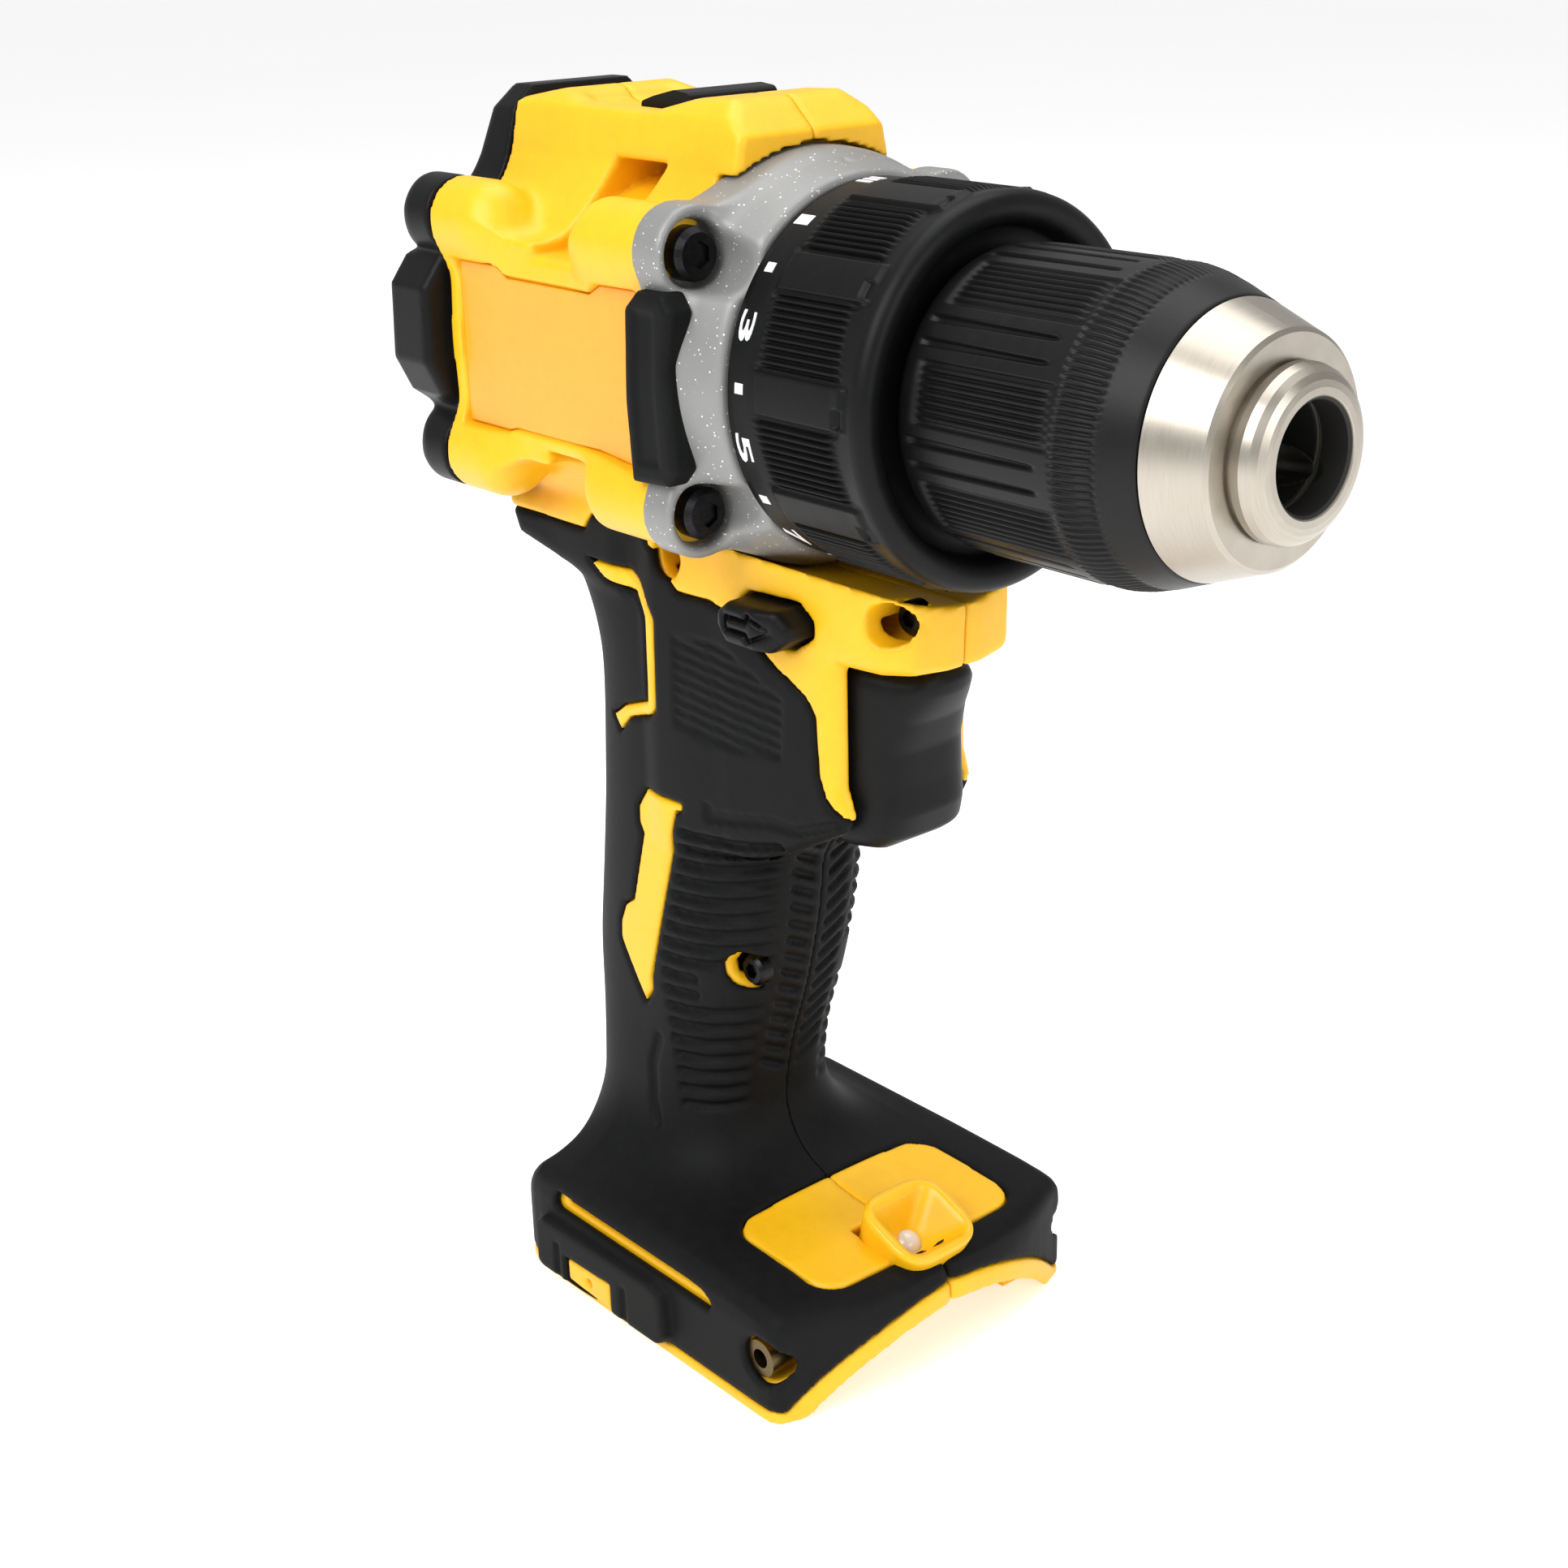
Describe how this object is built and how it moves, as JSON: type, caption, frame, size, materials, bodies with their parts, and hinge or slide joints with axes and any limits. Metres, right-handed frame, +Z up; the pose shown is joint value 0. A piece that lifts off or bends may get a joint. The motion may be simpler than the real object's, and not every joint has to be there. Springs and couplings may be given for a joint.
{
  "type": "cordless drill",
  "caption": "Pistol-grip cordless drill driver body with keyless chuck, numbered torque collar, planetary gearbox, trigger and battery foot, battery removed.",
  "frame": {"origin": "on the plane the foot stands on, on the parting plane of the housing halves, under the foot", "axes": "+X forward along the spindle to the chuck nose, +Y to the tool's left side, +Z up from the foot to the motor drum"},
  "size_m": [0.1599, 0.068, 0.2029],
  "materials": {
    "housing_yellow": "satin moulded, fine grain",
    "soft_black": "soft matte overmould",
    "cap_black": "satin black moulded",
    "label_amber": "printed panel, left blank",
    "bezel_yellow": "smooth moulded",
    "case_grey": "speckled die-cast grey",
    "screw_black": "black oxide",
    "satin_steel": "satin nickel",
    "gear_steel": "oiled steel",
    "lamination": "stacked laminations",
    "copper": "enamelled winding wire",
    "board_green": "coated circuit board",
    "inner_black": "moulded",
    "lens_clear": "clear lens",
    "brass": "machined"
  },
  "bodies": {
    "housing": {"clutch_spring": "gear_steel", "control_board": "board_green", "gear_case": "case_grey", "gear_case_screws": "screw_black", "grip_cover_left": "soft_black", "grip_cover_right": "soft_black", "hook_inserts": "brass", "housing_left": "housing_yellow", "housing_right": "housing_yellow", "housing_screws": "screw_black", "label_panels": "label_amber", "led_board": "board_green", "led_lens": "lens_clear", "light_bezel": "bezel_yellow", "motor_bearings": "gear_steel", "motor_plate": "inner_black", "rear_cap": "cap_black", "rear_cap_screws": "screw_black", "ring_gear_1": "gear_steel", "ring_gear_3": "gear_steel", "sensor_board": "board_green", "side_bumper_left": "soft_black", "side_bumper_right": "soft_black", "spindle_bearing": "gear_steel", "stator_coils": "copper", "stator_core": "lamination", "switch_body": "inner_black", "terminal_blades": "brass", "terminal_block": "inner_black", "trigger_spring": "gear_steel"},
    "rotor": {"rotor_shaft": "gear_steel", "rotor_core": "lamination", "sun_gear": "gear_steel", "cooling_fan": "inner_black"},
    "carrier_1": {"carrier_1": "gear_steel"},
    "carrier_2": {"carrier_2": "gear_steel"},
    "spindle": {"spindle": "gear_steel", "chuck_body": "satin_steel"},
    "sleeve": {"chuck_sleeve": "cap_black", "chuck_nut": "gear_steel"},
    "collar": {"clutch_collar": "cap_black"},
    "clutch_nut": {"clutch_nut": "inner_black"},
    "selector": {"speed_selector": "cap_black", "shift_fork": "gear_steel", "ring_gear_2": "gear_steel"},
    "trigger": {"trigger": "cap_black"},
    "direction_button": {"direction_button": "cap_black"},
    "direction_lever": {"direction_lever": "inner_black"},
    "jaw_1": {"jaw_1": "gear_steel"},
    "planet_1a": {"planet_1a": "gear_steel"},
    "planet_1b": {"planet_1b": "gear_steel"},
    "planet_1c": {"planet_1c": "gear_steel"},
    "jaw_2": {"jaw_2": "gear_steel"},
    "planet_2a": {"planet_2a": "gear_steel"},
    "planet_2b": {"planet_2b": "gear_steel"},
    "planet_2c": {"planet_2c": "gear_steel"},
    "jaw_3": {"jaw_3": "gear_steel"},
    "planet_3a": {"planet_3a": "gear_steel"},
    "planet_3b": {"planet_3b": "gear_steel"},
    "planet_3c": {"planet_3c": "gear_steel"}
  },
  "joints": [
    {"name": "spindle_spin", "type": "hinge", "parent": "housing", "child": "spindle", "pos_m": [0.06, 0, 0.1645], "axis": [1, 0, 0], "continuous": true},
    {"name": "carrier_2_spin", "type": "hinge", "parent": "housing", "child": "carrier_2", "pos_m": [0.02, 0, 0.1645], "axis": [1, 0, 0], "continuous": true},
    {"name": "carrier_1_spin", "type": "hinge", "parent": "housing", "child": "carrier_1", "pos_m": [0.01, 0, 0.1645], "axis": [1, 0, 0], "continuous": true},
    {"name": "rotor_spin", "type": "hinge", "parent": "housing", "child": "rotor", "pos_m": [-0.02, 0, 0.1645], "axis": [1, 0, 0], "continuous": true},
    {"name": "planet_1a_spin", "type": "hinge", "parent": "carrier_1", "child": "planet_1a", "pos_m": [0.0067, 0.009, 0.1645], "axis": [1, 0, 0], "continuous": true},
    {"name": "planet_1b_spin", "type": "hinge", "parent": "carrier_1", "child": "planet_1b", "pos_m": [0.0067, -0.0045, 0.17229], "axis": [1, 0, 0], "continuous": true},
    {"name": "planet_1c_spin", "type": "hinge", "parent": "carrier_1", "child": "planet_1c", "pos_m": [0.0067, -0.0045, 0.15671], "axis": [1, 0, 0], "continuous": true},
    {"name": "planet_2a_spin", "type": "hinge", "parent": "carrier_2", "child": "planet_2a", "pos_m": [0.0179, 0.0099, 0.1645], "axis": [1, 0, 0], "continuous": true},
    {"name": "planet_2b_spin", "type": "hinge", "parent": "carrier_2", "child": "planet_2b", "pos_m": [0.0179, -0.00495, 0.17307], "axis": [1, 0, 0], "continuous": true},
    {"name": "planet_2c_spin", "type": "hinge", "parent": "carrier_2", "child": "planet_2c", "pos_m": [0.0179, -0.00495, 0.15593], "axis": [1, 0, 0], "continuous": true},
    {"name": "planet_3a_spin", "type": "hinge", "parent": "spindle", "child": "planet_3a", "pos_m": [0.0267, 0.0108, 0.1645], "axis": [1, 0, 0], "continuous": true},
    {"name": "planet_3b_spin", "type": "hinge", "parent": "spindle", "child": "planet_3b", "pos_m": [0.0267, -0.0054, 0.17385], "axis": [1, 0, 0], "continuous": true},
    {"name": "planet_3c_spin", "type": "hinge", "parent": "spindle", "child": "planet_3c", "pos_m": [0.0267, -0.0054, 0.15515], "axis": [1, 0, 0], "continuous": true},
    {"name": "sleeve_turn", "type": "hinge", "parent": "spindle", "child": "sleeve", "pos_m": [0.07, 0, 0.1645], "axis": [1, 0, 0], "range_deg": [0, 4320]},
    {"name": "jaw_1_slide", "type": "slide", "parent": "spindle", "child": "jaw_1", "axis": [0.9659, 0, -0.2588], "range_m": [0, 0.02564]},
    {"name": "jaw_2_slide", "type": "slide", "parent": "spindle", "child": "jaw_2", "axis": [0.9659, 0.2241, 0.1294], "range_m": [0, 0.02564]},
    {"name": "jaw_3_slide", "type": "slide", "parent": "spindle", "child": "jaw_3", "axis": [0.9659, -0.2241, 0.1294], "range_m": [0, 0.02564]},
    {"name": "clutch_turn", "type": "hinge", "parent": "housing", "child": "collar", "pos_m": [0.035, 0, 0.1645], "axis": [1, 0, 0], "range_deg": [0, 300]},
    {"name": "clutch_nut_slide", "type": "slide", "parent": "collar", "child": "clutch_nut", "axis": [-1, 0, 0], "range_m": [0, 0.0041], "deforming": ["clutch_spring"]},
    {"name": "speed_shift", "type": "slide", "parent": "housing", "child": "selector", "axis": [-1, 0, 0], "range_m": [0, 0.0049]},
    {"name": "trigger_pull", "type": "slide", "parent": "housing", "child": "trigger", "axis": [-1, 0, 0], "range_m": [0, 0.0065], "stiffness_N_per_m": 600, "springref_m": -0.004, "deforming": ["trigger_spring"]},
    {"name": "direction_shift", "type": "slide", "parent": "housing", "child": "direction_button", "axis": [0, 1, 0], "range_m": [-0.0035, 0.0035]},
    {"name": "direction_lever_swing", "type": "hinge", "parent": "housing", "child": "direction_lever", "pos_m": [0.005, 0, 0.122], "axis": [0, 0, 1], "range_deg": [-25.5, 25.5]}
  ],
  "couplings": [
    {"joint": "carrier_2_spin", "follows": "spindle_spin", "ratio": 3},
    {"joint": "carrier_1_spin", "follows": "spindle_spin", "ratio": 11},
    {"joint": "rotor_spin", "follows": "spindle_spin", "ratio": 55},
    {"joint": "planet_1a_spin", "follows": "spindle_spin", "ratio": -29.333},
    {"joint": "planet_1b_spin", "follows": "spindle_spin", "ratio": -29.333},
    {"joint": "planet_1c_spin", "follows": "spindle_spin", "ratio": -29.333},
    {"joint": "planet_2a_spin", "follows": "spindle_spin", "ratio": -9.6},
    {"joint": "planet_2b_spin", "follows": "spindle_spin", "ratio": -9.6},
    {"joint": "planet_2c_spin", "follows": "spindle_spin", "ratio": -9.6},
    {"joint": "planet_3a_spin", "follows": "spindle_spin", "ratio": -4},
    {"joint": "planet_3b_spin", "follows": "spindle_spin", "ratio": -4},
    {"joint": "planet_3c_spin", "follows": "spindle_spin", "ratio": -4},
    {"joint": "jaw_1_slide", "follows": "sleeve_turn", "m_per_rad": 0.00034},
    {"joint": "jaw_2_slide", "follows": "sleeve_turn", "m_per_rad": 0.00034},
    {"joint": "jaw_3_slide", "follows": "sleeve_turn", "m_per_rad": 0.00034},
    {"joint": "clutch_nut_slide", "follows": "clutch_turn", "m_per_rad": 0.00076394},
    {"joint": "direction_lever_swing", "follows": "direction_shift", "rad_per_m": 125}
  ]
}
